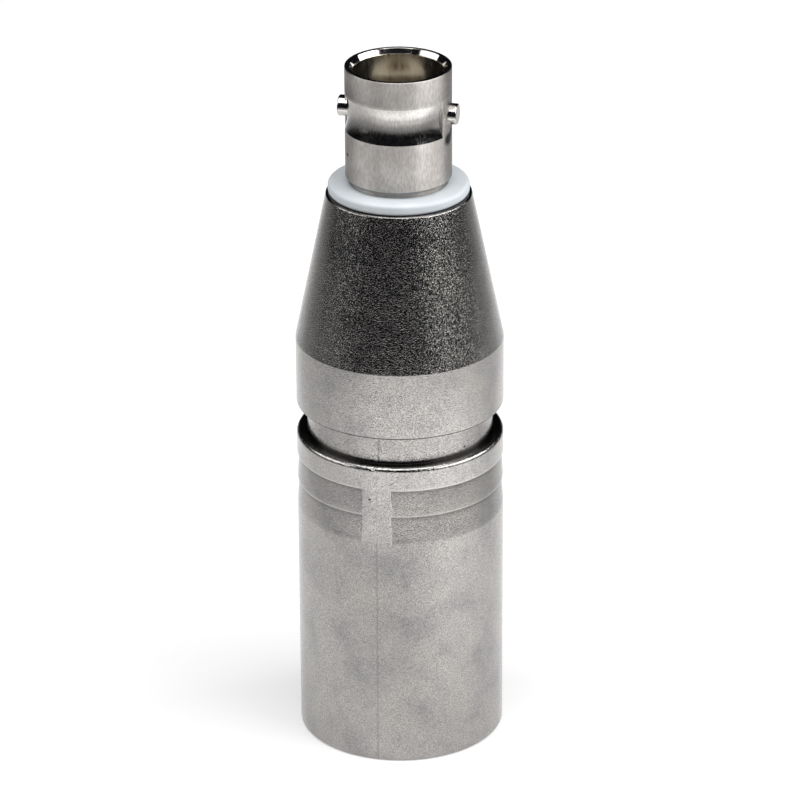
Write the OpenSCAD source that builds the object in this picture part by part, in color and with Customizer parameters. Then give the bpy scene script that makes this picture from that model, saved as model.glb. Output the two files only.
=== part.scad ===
// XLR to BNC adapter, standing on the rim of its XLR plug end.
// A die-cast shell carries the three-contact insert, a matching transformer sits behind it
// on a small board, and a conical rear housing holds an insulated BNC socket.
// Millimetres, +Z up, origin at the centre of the rim that the adapter stands on.

/* [Plug shell] */
// Outside diameter of the shell, its flange and the band of the rear housing
shell_d = 19; // [18.4:0.1:20.4]
// Wall of the skirt round the mouth that the mating plug slides into
skirt_wall = 1.4; // [1.1:0.05:1.6]
// Depth from the rim to the face of the insert
mouth_depth = 14.5; // [13:0.5:17]
// Height of the plain skirt, up to the first sawtooth ring
skirt_h = 22.43; // [20:0.1:24]
// Number of sawtooth rings
tooth_count = 2; // [1:1:3]
// Height of one sawtooth ring
tooth_h = 2.62; // [2:0.01:3]
// Height of the upright lip at the foot of each ring
tooth_lip_h = 0.4; // [0.2:0.05:0.6]
// How far each ring leans in at its top
tooth_depth = 0.18; // [0.12:0.01:0.3]
// How far the lip of each next ring stays behind the skirt
tooth_lip_drop = 0.04; // [0:0.01:0.06]
// Width of the plain bar that interrupts the rings on the parting line
bar_w = 2.8; // [2:0.1:4]
// Height of the flange above the rings
flange_h = 2.3; // [2:0.05:3.5]
// Rounding of the flange's upper edge
flange_edge_r = 0.4; // [0.3:0.05:0.6]
// Height of the neck between the flange and the rear housing
neck_h = 2.84; // [2:0.01:3.2]
// Step from the threaded spigot out to the neck
neck_step = 0.52; // [0.3:0.02:0.7]
// Length of the threaded spigot inside the rear housing
spigot_l = 5.1; // [4:0.1:6]
// Wall of the threaded spigot
spigot_wall = 0.9; // [0.7:0.05:1.1]
// Wall of the shell round the insert
rear_wall = 2.4; // [2.3:0.05:2.6]
// Thickness of the inner lip that the insert stops against
lip_t = 1.2; // [0.8:0.1:2]
// How far the lip reaches in from the rear bore
lip_w = 0.4; // [0.3:0.05:0.6]
// Radius of the other rounded outer edges
shell_edge_r = 0.3; // [0.1:0.05:0.4]
// Lead-in bevel at the mouth
mouth_bevel = 0.4; // [0.2:0.05:0.5]
// Width of the key rib in the mouth
key_w = 2; // [1.5:0.1:2.5]
// How far the key rib stands in from the bore
key_h = 0.9; // [0.6:0.05:1]
// Length of the key rib, from the floor of the mouth
key_l = 6; // [4:0.5:7]
// Width of the recess that a mating latch drops into
latch_w = 5; // [4:0.1:6]
// Height of the latch recess
latch_h = 3; // [2:0.1:3.5]
// Distance from the rim to the latch recess
latch_from_rim = 4.2; // [3:0.1:4.5]
// Depth of the latch recess in the wall
latch_depth = 0.7; // [0.4:0.05:0.8]

/* [Contacts] */
// Height of the insert above the lip
insert_h = 6.8; // [6:0.1:8]
// Diameter of the plug contacts
pin_d = 2.4; // [2.2:0.05:2.5]
// Diameter of the contacts' thicker seat in the insert
pin_seat_d = 2.8; // [2.6:0.05:3]
// Length of that seat
pin_seat_l = 3.2; // [2.5:0.1:3.6]
// Diameter of the contacts' rear shaft, from the seat to the board
pin_shaft_d = 1.8; // [1.6:0.05:2]
// Distance between contacts 1 and 2
pin_spacing = 7.62; // [7.4:0.02:7.8]
// Distance from that pair to contact 3
pin_offset = 6.35; // [6.1:0.05:6.5]
// How far the contact tips stay inside the rim
pin_recess = 2; // [1:0.1:4]
// Diameter of the solder tails
tail_d = 1.2; // [0.8:0.1:1.4]
// Thickness of the ground spring
spring_t = 0.3; // [0.2:0.05:0.35]
// Width of the ground spring
spring_w = 2.4; // [1.8:0.1:2.6]
// Height of the ground spring's legs
spring_h = 3.2; // [2:0.1:4]

/* [Board and transformer] */
// Wall of the spacer sleeve
sleeve_wall = 0.7; // [0.5:0.05:0.8]
// Height of the board above the insert
board_gap = 4; // [3:0.1:5]
// Thickness of the board
board_t = 1.6; // [1:0.1:2]
// How far the solder tails stand out of the board
tail_proud = 0.25; // [0.1:0.05:0.3]
// Outside diameter of the transformer core
core_d = 8.6; // [8:0.1:8.6]
// Hole in the transformer core
core_hole_d = 4.6; // [4.4:0.1:5]
// Height of the transformer core
core_h = 3; // [2:0.1:4]
// Rounding of the core's edges
core_edge_r = 0.3; // [0.1:0.05:0.4]
// Wire of the two windings
winding_wire = 0.35; // [0.3:0.01:0.36]
// Turns of the primary winding
primary_turns = 8; // [4:1:8]
// Turns of the secondary winding
secondary_turns = 6; // [4:1:8]
// Angle between the turns
turn_angle = 11.4; // [11:0.1:12]
// Diameter of the link wires
wire_d = 0.8; // [0.5:0.05:0.8]

/* [Rear housing] */
// Height of the straight band
band_h = 6.32; // [6.2:0.01:8]
// Height of the cone
cone_h = 14.07; // [13:0.05:17]
// Diameter at the top of the cone
cone_top_d = 13.16; // [13:0.02:14.6]
// Depth of the threaded bore
thread_depth = 5.6; // [5.3:0.1:6.2]
// Cavity behind the threaded bore, at its wide end
cavity_d = 12.8; // [12.6:0.1:13]
// Cavity below the top wall
cavity_top_d = 12; // [11.9:0.05:12.2]
// Thickness of the top wall
top_wall = 2; // [1.5:0.1:2.5]
// Rounding of the band's lower edge
band_edge_r = 0.1; // [0.05:0.01:0.2]
// Rounding at the top of the cone
cone_edge_r = 0.22; // [0.1:0.02:0.4]

/* [BNC socket] */
// Outside diameter of the BNC barrel
bnc_d = 9.6; // [9.5:0.05:9.8]
// Bore of the BNC barrel
bnc_bore_d = 8.2; // [8.1:0.05:8.3]
// Depth of the BNC bore
bnc_bore_depth = 8.4; // [7.5:0.1:9]
// Height of the foot that stands on the washer
foot_h = 0.67; // [0.5:0.01:0.9]
// Diameter of the foot
foot_d = 9; // [8.8:0.1:9.2]
// Bevel above the foot
foot_bevel = 0.3; // [0.2:0.02:0.4]
// Height of the barrel below the groove
barrel_h = 4.4; // [3:0.1:6]
// Height of the concave groove
groove_h = 3.36; // [2.8:0.01:4]
// Depth of the concave groove
groove_depth = 0.25; // [0.15:0.01:0.3]
// Angle from a lug to the near end of the groove beside it
groove_start = 8; // [6:0.5:12]
// Angle from the far end of the groove to the next lug
groove_stop = 21.6; // [18:0.2:30]
// Height of the collar above the groove
collar_h = 2.57; // [2:0.01:4]
// Rounding of the outer rim edge
rim_edge_r = 0.1; // [0.05:0.01:0.15]
// Width of the bevel inside the rim
rim_bevel_w = 0.3; // [0.2:0.02:0.5]
// Depth of the bevel inside the rim
rim_bevel_h = 0.5; // [0.3:0.05:0.8]
// Diameter of the bayonet lugs
lug_d = 1.92; // [1.8:0.02:2.1]
// Distance across the tips of the lugs
lug_span = 10.9; // [10.8:0.05:11.2]
// Rounding of the lug tips
lug_edge_r = 0.12; // [0.05:0.01:0.2]
// Diameter of the threaded shank
shank_d = 8; // [7.8:0.1:8.2]
// How far the shank stands out of the nut
shank_proud = 0.8; // [0.4:0.1:1.2]
// Diameter of the insulator
dielectric_d = 4.7; // [4.6:0.05:4.9]
// How far the insulator stays below the rim
dielectric_recess = 3.2; // [2.8:0.1:5]
// Diameter of the centre contact
contact_d = 2.16; // [2.1:0.02:2.3]
// Socket in the centre contact
socket_d = 1.4; // [1.35:0.01:1.45]
// Depth of that socket
socket_depth = 5; // [4:0.1:6]
// Length of the slots in the socket
socket_slot_l = 4; // [3:0.1:4]
// Width of the slots in the socket
socket_slot = 0.2; // [0.15:0.01:0.22]
// How far the solder cup stands out of the insulator
cup_l = 2; // [1.5:0.1:2.5]
// Outside diameter of the solder cup
cup_d = 1.5; // [1.4:0.05:1.6]
// Depth of the solder cup
cup_depth = 1.4; // [1:0.1:1.5]

/* [Insulated mounting] */
// Diameter of the white washer
washer_d = 12.78; // [12.5:0.02:13]
// Thickness of the white washer
washer_t = 1; // [0.8:0.05:1.6]
// Rounding of the white washer's edges
washer_edge_r = 0.35; // [0.2:0.05:0.38]
// Wall of the washer's bush in the housing
bush_wall = 0.5; // [0.4:0.05:0.6]
// How far the bush stays short of the inner face of the top wall
bush_short = 0.3; // [0.1:0.1:0.6]
// Diameter of the inner insulating washer
inner_washer_d = 11.2; // [10.8:0.1:11.4]
// Thickness of the inner insulating washer
inner_washer_t = 0.8; // [0.5:0.1:1]
// Diameter of the solder tag's ring
tag_d = 10.4; // [10:0.1:10.4]
// Thickness of the solder tag
tag_t = 0.4; // [0.3:0.05:0.4]
// Width of the solder tag's tail
tag_w = 2.4; // [1.6:0.1:2.6]
// Gap between the nut and the tail
tag_gap = 0.25; // [0.2:0.05:0.3]
// How far the tail hangs below the nut
tag_drop = 2.2; // [1.9:0.1:3]
// Length of wire that is soldered along the tail
tag_lap = 1.6; // [1:0.1:1.7]
// Diameter of the lock washer
lock_d = 10; // [9.6:0.1:10]
// Thickness of the lock washer
lock_t = 0.6; // [0.4:0.05:0.8]
// Teeth of the lock washer
lock_teeth = 12; // [8:1:14]
// Nut, across its flats
nut_af = 10; // [9.8:0.1:10.2]
// Thickness of the nut
nut_t = 2.2; // [1.8:0.1:2.6]

/* [Fits] */
// Radial play of pieces that slide into each other
slide_play = 0.05; // [0.02:0.01:0.08]
// Radial play of pressed and soldered pieces
press_play = 0.02; // [0.01:0.01:0.04]
// Radial play round the board and in its holes
board_play = 0.1; // [0.05:0.01:0.15]

/* [Hidden] */

// Finishes
matte_nickel = "#b4b1ac";
bright_nickel = "#c9c4be";
white_nylon = "#e4e8ec";
black_nylon = "#1d1d1f";
silver_plate = "#d3d2cd";
gold_plate = "#c79a4b";
ptfe = "#efece2";
board_green = "#2d6b45";
ferrite = "#3a3836";
copper_enamel = "#a5562b";
red_enamel = "#8c2f26";
tinned_copper = "#c4c2bb";
spring_bronze = "#b98a55";

// Smoothness of curves, and the overlap that keeps cutters clear of the faces they cut
$fn = 96;
over = 0.05;

// Radii
shell_r = shell_d / 2;
mouth_r = shell_r - skirt_wall;
rear_bore_r = shell_r - rear_wall;
lip_r = rear_bore_r - lip_w;
spigot_r = rear_bore_r + spigot_wall;
neck_r = spigot_r + neck_step;
thread_r = spigot_r + slide_play;
pin_r = pin_d / 2;
pin_seat_r = pin_seat_d / 2;
pin_shaft_r = pin_shaft_d / 2;
tail_r = tail_d / 2;
wire_r = wire_d / 2;
sleeve_r = rear_bore_r - slide_play;
sleeve_in_r = sleeve_r - sleeve_wall;
board_r = sleeve_in_r - board_play;
bnc_r = bnc_d / 2;
bnc_bore_r = bnc_bore_d / 2;
shank_r = shank_d / 2;
shank_hole_r = shank_r + slide_play;
bush_r = shank_hole_r + bush_wall;
bush_hole_r = bush_r + slide_play;
contact_r = contact_d / 2;
dielectric_r = dielectric_d / 2;
washer_r = washer_d / 2;

// Levels of the shell, from the rim up
z_lip = mouth_depth + lip_t;
z_seat = mouth_depth + pin_seat_l;
z_insert_top = z_lip + insert_h;
z_flange = skirt_h + tooth_count * tooth_h;
z_ledge = z_flange + flange_h;
z_joint = z_ledge + neck_h;
z_spigot = z_joint + spigot_l;

// Levels of the board and the transformer on it
z_board = z_insert_top + board_gap;
z_board_top = z_board + board_t;
z_core = z_board_top + 2 * press_play + winding_wire;

// Levels of the rear housing and the washer
z_shoulder = z_joint + thread_depth;
z_cone = z_joint + band_h;
z_cone_top = z_cone + cone_h;
z_top_wall = z_cone_top - top_wall;
z_washer_top = z_cone_top + washer_t;

// Levels of the BNC socket
z_barrel = z_washer_top + foot_h;
z_groove = z_barrel + barrel_h;
z_collar = z_groove + groove_h;
z_rim = z_collar + collar_h;
z_lug = z_groove + groove_h / 2;
z_bnc_floor = z_rim - bnc_bore_depth;
z_dielectric = z_rim - dielectric_recess;

// Levels of the fastening stack under the top wall, going down
z_tag = z_top_wall - inner_washer_t - tag_t;
z_lock = z_tag - lock_t;
z_nut = z_lock - nut_t;
z_shank = z_nut - shank_proud;
z_cup = z_shank - cup_l;
z_tag_end = z_nut - tag_drop;

// Contacts 1, 2 and 3 lie on one circle about the axis, with the pair on the key's side
pin_circle_r = (pow(pin_spacing / 2, 2) + pow(pin_offset, 2)) / (2 * pin_offset);
pair_y = pin_circle_r - pin_offset;
pin_places = [[-pin_spacing / 2, pair_y], [pin_spacing / 2, pair_y], [0, pin_circle_r]];

// The ground spring spans from contact 1 to the shell, along the line to that contact
spring_angle = atan2(pin_places[0][1], pin_places[0][0]);
spring_in_x = pin_circle_r + pin_shaft_r + press_play;
spring_out_x = sqrt(pow(rear_bore_r - press_play, 2) - pow(spring_w / 2, 2));

// The windings sit between the contacts' solder tails
primary_angle = 150;
secondary_angle = 30;

// The ground wire runs up beside the core to the inner face of the solder tag's tail
tag_tail_y = nut_af / 2 + tag_gap;
ground_wire_y = -(tag_tail_y - wire_r - press_play);

// The groove's cutter is round in section: its radius follows from the chord and the depth
groove_r = (pow(groove_h / 2, 2) + pow(groove_depth, 2)) / (2 * groove_depth);

// A corner's web: the patch between two square edges and the arc that joins them.
// Taken away at an outer corner, it leaves a rounded edge.
module corner_web(at, toward, r) {
    translate(at)
        mirror([toward[0] < 0 ? 1 : 0, 0])
            mirror([0, toward[1] < 0 ? 1 : 0])
                difference() {
                    translate([-over, -over])
                        square(r + over);
                    translate([r, r])
                        circle(r);
                }
}

// A ring-shaped section for a revolve, from one radius and level to another
module band_section(r_in, r_out, z_low, z_high) {
    translate([r_in, z_low])
        square([r_out - r_in, z_high - z_low]);
}

// A tube or disc about the axis
module tube(r_in, r_out, z_low, z_high) {
    rotate_extrude()
        band_section(r_in, r_out, z_low, z_high);
}

// A rod from one level to another
module rod(r, z_low, z_high) {
    translate([0, 0, z_low])
        cylinder(r = r, h = z_high - z_low);
}

// Section of one sawtooth ring: an upright lip, then leaning in up to its top
module tooth_section(tooth_lip_r, z_low) {
    polygon([
        [0, z_low], [tooth_lip_r, z_low], [tooth_lip_r, z_low + tooth_lip_h],
        [shell_r - tooth_depth, z_low + tooth_h], [0, z_low + tooth_h]
    ]);
}

// Outline of the shell before it is bored: skirt, sawtooth rings, flange, neck and spigot
module shell_outline() {
    band_section(0, shell_r, 0, skirt_h);
    for (i = [0 : tooth_count - 1])
        tooth_section(shell_r - i * tooth_lip_drop, skirt_h + i * tooth_h);
    band_section(0, shell_r, z_flange, z_ledge);
    band_section(0, neck_r, z_ledge, z_joint);
    band_section(0, spigot_r, z_joint, z_spigot);
}

// Section of the shell, with its bores and its rounded edges
module shell_section() {
    difference() {
        shell_outline();
        corner_web([shell_r, 0], [-1, 1], shell_edge_r);
        corner_web([shell_r, z_ledge], [-1, -1], flange_edge_r);
        corner_web([spigot_r, z_spigot], [-1, -1], shell_edge_r);
        band_section(-over, mouth_r, -over, mouth_depth);
        band_section(-over, lip_r, 0, z_spigot + over);
        band_section(-over, rear_bore_r, z_lip, z_spigot + over);
        polygon([
            [mouth_r - over, -over], [mouth_r + mouth_bevel + over, -over], [mouth_r - over, mouth_bevel + over]
        ]);
    }
}

// Plain bar across the sawtooth rings, on one side of the parting line
module tooth_bar() {
    intersection() {
        tube((mouth_r + shell_r) / 2, shell_r, skirt_h, z_flange + over);
        translate([-bar_w / 2, -shell_r - over, skirt_h])
            cube([bar_w, shell_r, z_flange - skirt_h + over]);
    }
}

// Key rib on the wall of the mouth
module key_rib() {
    intersection() {
        tube(mouth_r - key_h, mouth_r + key_h / 2, mouth_depth - key_l, mouth_depth + over);
        translate([-key_w / 2, -shell_r, 0])
            cube([key_w, shell_r, z_lip]);
    }
}

// Recess in the wall of the mouth for a mating latch
module latch_recess() {
    intersection() {
        tube(mouth_r - over, mouth_r + latch_depth, latch_from_rim, latch_from_rim + latch_h);
        translate([-latch_w / 2, -shell_r, 0])
            cube([latch_w, shell_r, mouth_depth]);
    }
}

module xlr_shell() {
    color(matte_nickel)
        difference() {
            union() {
                rotate_extrude()
                    shell_section();
                for (side = [0, 180])
                    rotate(side)
                        tooth_bar();
                key_rib();
            }
            latch_recess();
        }
}

// The insert drops in from behind and stops on the lip, with its nose flush in the mouth
module xlr_insert() {
    color(black_nylon)
        difference() {
            rotate_extrude()
                union() {
                    band_section(0, lip_r - slide_play, mouth_depth, z_insert_top);
                    band_section(0, rear_bore_r - slide_play, z_lip, z_insert_top);
                }
            for (place = pin_places)
                translate(place) {
                    rod(pin_seat_r + press_play, mouth_depth - over, z_seat);
                    rod(pin_shaft_r + press_play, z_seat - over, z_insert_top + over);
                }
            rotate(spring_angle)
                translate([pin_circle_r, -spring_w / 2 - slide_play, z_insert_top - spring_h - slide_play])
                    cube([rear_bore_r, spring_w + 2 * slide_play, spring_h + slide_play + over]);
        }
}

// One plug contact: round tip, plain front, thicker seat, rear shaft and a solder tail
module contact_pin(place) {
    color(silver_plate)
        translate(place)
            rotate_extrude()
                intersection() {
                    union() {
                        translate([0, pin_recess + pin_r])
                            circle(pin_r);
                        band_section(0, pin_r, pin_recess + pin_r, mouth_depth + over);
                        band_section(0, pin_seat_r, mouth_depth, z_seat);
                        band_section(0, pin_shaft_r, z_seat - over, z_board);
                        band_section(0, tail_r, z_board - over, z_board_top + tail_proud);
                    }
                    band_section(0, shell_r, 0, z_rim);
                }
}

module contact_pin_1() {
    contact_pin(pin_places[0]);
}

module contact_pin_2() {
    contact_pin(pin_places[1]);
}

module contact_pin_3() {
    contact_pin(pin_places[2]);
}

// A folded leaf: one leg on contact 1, the other on the wall of the shell
module shell_ground_spring() {
    z_low = z_insert_top - spring_h;
    color(spring_bronze)
        rotate(spring_angle)
            translate([spring_in_x, -spring_w / 2, z_low])
                difference() {
                    cube([spring_out_x - spring_in_x, spring_w, spring_h]);
                    translate([spring_t, -over, -over])
                        cube([
                            spring_out_x - spring_in_x - 2 * spring_t,
                            spring_w + 2 * over,
                            spring_h - spring_t + over
                        ]);
                }
}

module spacer_sleeve() {
    color(black_nylon)
        tube(sleeve_in_r, sleeve_r, z_insert_top, z_shoulder);
}

module circuit_board() {
    color(board_green)
        difference() {
            rod(board_r, z_board, z_board_top);
            for (place = pin_places)
                translate(place)
                    rod(tail_r + board_play, z_board - over, z_board_top + over);
            for (wire_y = [0, ground_wire_y])
                translate([0, wire_y])
                    rod(wire_r + press_play, z_board - over, z_board_top + over);
        }
}

module transformer_core() {
    color(ferrite)
        rotate_extrude()
            difference() {
                band_section(core_hole_d / 2, core_d / 2, z_core, z_core + core_h);
                corner_web([core_d / 2, z_core], [-1, 1], core_edge_r);
                corner_web([core_d / 2, z_core + core_h], [-1, -1], core_edge_r);
                corner_web([core_hole_d / 2, z_core], [1, 1], core_edge_r);
                corner_web([core_hole_d / 2, z_core + core_h], [1, -1], core_edge_r);
            }
}

// One turn of wire round the section of the core, clear of the hole's curve at both its edges
module wire_turn() {
    hole_x = sqrt(pow(core_hole_d / 2, 2) - pow(winding_wire / 2, 2)) - press_play;
    hole_w = core_d / 2 + press_play - hole_x;
    hole_h = core_h + 2 * press_play;
    translate([hole_x, winding_wire / 2, z_core - press_play])
        rotate([90, 0, 0])
            linear_extrude(winding_wire)
                difference() {
                    translate([-winding_wire, -winding_wire])
                        square([hole_w + 2 * winding_wire, hole_h + 2 * winding_wire]);
                    square([hole_w, hole_h]);
                }
}

// Turns side by side, spread about the middle of the winding
module winding(middle, turns) {
    for (i = [0 : turns - 1])
        rotate(middle + (i - (turns - 1) / 2) * turn_angle)
            wire_turn();
}

module primary_winding() {
    color(copper_enamel)
        winding(primary_angle, primary_turns);
}

module secondary_winding() {
    color(red_enamel)
        winding(secondary_angle, secondary_turns);
}

// Straight link from the board, through the core, into the cup of the centre contact
module signal_wire() {
    color(tinned_copper)
        rod(wire_r, z_board - tail_proud, z_cup + cup_depth);
}

module ground_wire() {
    color(tinned_copper)
        translate([0, ground_wire_y])
            rod(wire_r, z_board - tail_proud, z_tag_end + tag_lap);
}

// Section of the rear housing: band below, cone above, threaded bore, cavity and top hole
module housing_section() {
    difference() {
        polygon([
            [0, z_joint], [shell_r, z_joint], [shell_r, z_cone],
            [cone_top_d / 2, z_cone_top], [0, z_cone_top]
        ]);
        corner_web([shell_r, z_joint], [-1, 1], band_edge_r);
        corner_web([cone_top_d / 2, z_cone_top], [-1, -1], cone_edge_r);
        band_section(-over, thread_r, z_joint - over, z_shoulder);
        polygon([
            [-over, z_shoulder - over], [cavity_d / 2, z_shoulder - over],
            [cavity_top_d / 2, z_top_wall], [-over, z_top_wall]
        ]);
        band_section(-over, bush_hole_r, z_top_wall - over, z_cone_top + over);
    }
}

module rear_housing() {
    color(matte_nickel)
        rotate_extrude()
            housing_section();
}

module insulating_washer() {
    color(white_nylon)
        rotate_extrude()
            difference() {
                union() {
                    band_section(shank_hole_r, washer_r, z_cone_top, z_washer_top);
                    band_section(shank_hole_r, bush_r, z_top_wall + bush_short, z_washer_top);
                }
                corner_web([washer_r, z_cone_top], [-1, 1], washer_edge_r);
                corner_web([washer_r, z_washer_top], [-1, -1], washer_edge_r);
            }
}

module inner_insulating_washer() {
    color(white_nylon)
        tube(shank_hole_r, inner_washer_d / 2, z_top_wall - inner_washer_t, z_top_wall);
}

// Ring under the inner washer, with a tail that is bent down past the nut
module solder_tag() {
    color(tinned_copper)
        difference() {
            union() {
                rod(tag_d / 2, z_tag, z_tag + tag_t);
                translate([-tag_w / 2, -tag_tail_y - tag_t, z_tag])
                    cube([tag_w, tag_tail_y, tag_t]);
                translate([-tag_w / 2, -tag_tail_y - tag_t, z_tag_end])
                    cube([tag_w, tag_t, z_tag + tag_t - z_tag_end]);
            }
            rod(shank_hole_r, z_tag - over, z_tag + tag_t + over);
        }
}

module lock_washer() {
    notch_w = PI * lock_d / lock_teeth / 2;
    root_r = (shank_hole_r + lock_d / 2) / 2;
    color(spring_bronze)
        difference() {
            tube(shank_hole_r, lock_d / 2, z_lock, z_tag);
            for (i = [0 : lock_teeth - 1])
                rotate(i * 360 / lock_teeth)
                    translate([root_r, -notch_w / 2, z_lock - over])
                        cube([lock_d, notch_w, lock_t + 2 * over]);
        }
}

// Hexagon nut with the corners bevelled on both sides
module hex_nut() {
    corner_r = nut_af / 2 / cos(30);
    bevel = corner_r - nut_af / 2;
    color(bright_nickel)
        difference() {
            intersection() {
                translate([0, 0, z_nut])
                    cylinder(r = corner_r, h = nut_t, $fn = 6);
                rotate_extrude()
                    polygon([
                        [0, z_nut], [nut_af / 2, z_nut], [corner_r + over, z_nut + bevel],
                        [corner_r + over, z_lock - bevel], [nut_af / 2, z_lock], [0, z_lock]
                    ]);
            }
            rod(shank_hole_r, z_nut - over, z_lock + over);
        }
}

// Section of the BNC body: shank, foot, barrel and bevelled mouth
module bnc_section() {
    difference() {
        polygon([
            [0, z_shank], [shank_r, z_shank], [shank_r, z_washer_top], [foot_d / 2, z_washer_top],
            [foot_d / 2, z_barrel - foot_bevel], [bnc_r, z_barrel], [bnc_r, z_rim], [0, z_rim]
        ]);
        corner_web([bnc_r, z_rim], [-1, -1], rim_edge_r);
        band_section(-over, dielectric_r + press_play, z_shank - over, z_rim);
        band_section(-over, bnc_bore_r, z_bnc_floor, z_rim + over);
        polygon([
            [-over, z_rim - rim_bevel_h], [bnc_bore_r, z_rim - rim_bevel_h],
            [bnc_bore_r + rim_bevel_w, z_rim], [bnc_bore_r + rim_bevel_w, z_rim + over],
            [-over, z_rim + over]
        ]);
    }
}

// Concave groove from beside one lug to short of the next
module bayonet_groove() {
    rotate(groove_start)
        rotate_extrude(angle = 180 - groove_start - groove_stop)
            intersection() {
                translate([bnc_r - groove_depth + groove_r, z_lug])
                    circle(groove_r);
                band_section(bnc_bore_r, bnc_r + groove_depth, z_groove, z_collar);
            }
}

module bnc_body() {
    color(bright_nickel)
        difference() {
            rotate_extrude()
                bnc_section();
            for (side = [0, 180])
                rotate(side) {
                    bayonet_groove();
                    translate([bnc_bore_r - bnc_r / 2, 0, z_lug])
                        rotate([0, 90, 0])
                            cylinder(r = lug_d / 2 + press_play, h = bnc_r);
                }
        }
}

// One lug, pressed through the wall of the barrel, with its tip's edge rounded
module bayonet_lug(side) {
    lug_r = lug_d / 2;
    root = sqrt(pow(bnc_bore_r, 2) + pow(lug_r, 2));
    color(bright_nickel)
        rotate(side)
            translate([0, 0, z_lug])
                rotate([0, 90, 0])
                    rotate_extrude()
                        difference() {
                            band_section(0, lug_r, root, lug_span / 2);
                            corner_web([lug_r, lug_span / 2], [-1, -1], lug_edge_r);
                        }
}

module bayonet_lug_left() {
    bayonet_lug(180);
}

module bayonet_lug_right() {
    bayonet_lug(0);
}

module bnc_dielectric() {
    color(ptfe)
        tube(contact_r + press_play, dielectric_r, z_shank, z_dielectric);
}

// Slotted socket at the top, solder cup at the bottom
module bnc_center_contact() {
    color(gold_plate)
        difference() {
            union() {
                rod(contact_r, z_shank, z_dielectric);
                rod(cup_d / 2, z_cup, z_shank + over);
            }
            rod(socket_d / 2, z_dielectric - socket_depth, z_dielectric + over);
            rod(wire_r + press_play, z_cup - over, z_cup + cup_depth + press_play);
            for (turn = [0, 90])
                rotate(turn)
                    translate([-contact_d, -socket_slot / 2, z_dielectric - socket_slot_l])
                        cube([2 * contact_d, socket_slot, socket_slot_l + over]);
        }
}

xlr_shell();
xlr_insert();
contact_pin_1();
contact_pin_2();
contact_pin_3();
shell_ground_spring();
spacer_sleeve();
circuit_board();
transformer_core();
primary_winding();
secondary_winding();
signal_wire();
ground_wire();
rear_housing();
insulating_washer();
inner_insulating_washer();
solder_tag();
lock_washer();
hex_nut();
bnc_body();
bayonet_lug_left();
bayonet_lug_right();
bnc_dielectric();
bnc_center_contact();
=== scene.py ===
# %% [markdown]
# # XLR to BNC adapter
#
# This lesson dresses a small metal adapter: a die-cast plug shell at the bottom, a conical rear
# housing above it, a white insulating washer, and a turned bayonet socket at the top.
#
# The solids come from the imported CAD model, which stays fixed. The pieces that carry the look,
# which are all turned or cast about one axis, are made again here as fine grids, because a
# polished metal shows every facet of a coarse mesh.

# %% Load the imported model
import math

import bmesh
import bpy
import numpy as np
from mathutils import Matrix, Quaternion, Vector


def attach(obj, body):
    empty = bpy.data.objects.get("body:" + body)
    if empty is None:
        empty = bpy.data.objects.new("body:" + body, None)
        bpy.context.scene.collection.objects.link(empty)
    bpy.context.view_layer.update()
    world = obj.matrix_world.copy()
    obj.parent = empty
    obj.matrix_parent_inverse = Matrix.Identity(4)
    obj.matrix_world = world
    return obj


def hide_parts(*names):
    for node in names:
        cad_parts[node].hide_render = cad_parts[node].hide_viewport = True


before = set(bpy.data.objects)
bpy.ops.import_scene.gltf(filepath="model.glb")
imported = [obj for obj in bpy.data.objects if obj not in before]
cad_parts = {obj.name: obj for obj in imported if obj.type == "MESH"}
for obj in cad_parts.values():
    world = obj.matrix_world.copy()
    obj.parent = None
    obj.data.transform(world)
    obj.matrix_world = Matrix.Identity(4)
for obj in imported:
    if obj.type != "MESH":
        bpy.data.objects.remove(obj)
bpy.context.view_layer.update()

# %% [markdown]
# ## Colours and nodes
#
# Colours are written as the sRGB hex values that a paint program shows. A shader works in linear
# light, so one function turns them round. One more function adds any shader node: it sets the
# node's properties, places the stops of a colour ramp, and fills sockets with values or links.
# A tree could also be drawn by hand in the editor, but a script can be read and run again.

# %% Colour and node helpers
MM = 0.001


def linear(hex_colour):
    """Linear RGBA from sRGB hex: c / 12.92 below 0.04045, else ((c + 0.055) / 1.055) ^ 2.4."""
    c = np.array([int(hex_colour[i:i + 2], 16) for i in (1, 3, 5)]) / 255
    return (*np.where(c <= 0.04045, c / 12.92, ((c + 0.055) / 1.055) ** 2.4), 1.0)


def add(tree, kind, sockets=None, stops=(), **settings):
    """Add a node of a kind, set its properties, place its colour ramp's stops of (position, sRGB
    hex), and fill its sockets, by name or number, with a value or a link."""
    node = tree.nodes.new(kind)
    for name, value in settings.items():
        setattr(node, name, value)
    if stops:
        elements = node.color_ramp.elements
        while len(elements) < len(stops):
            elements.new(1.0)
        for element, (position, colour) in zip(elements, stops):
            element.position, element.color = position, linear(colour)
    for name, value in (sockets or {}).items():
        if isinstance(value, bpy.types.NodeSocket):
            tree.links.new(value, node.inputs[name])
        else:
            node.inputs[name].default_value = value
    return node


def blank_material(name):
    """A material with an empty node tree."""
    material = bpy.data.materials.new(name)
    material.use_nodes = True
    material.node_tree.nodes.clear()
    return material, material.node_tree


def per_mm(size):
    """Texture scale at which a pattern's features are size millimetres wide."""
    return 1 / (size * MM)


# The Mix node has sockets for every kind of data: these are the ones for colours
SHARE, UNDER, OVER, MIXED = 0, 6, 7, 2
COLOURS = {"data_type": "RGBA", "clamp_result": True}
print("mid grey #808080 is", round(linear("#808080")[0], 3), "in linear light")

# %% [markdown]
# ## Small marks
#
# Cast and turned metal carries a few dark specks and scratches, and the socket has dark marks
# beside its right lug. They could be dents in the mesh, but they are finer than its faces, so
# each is a small soft ellipsoid that darkens the metal where it meets the surface.

# %% Specks, scratches and dark marks
INSIDE, OUTSIDE = 0.6, 1.2


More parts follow.
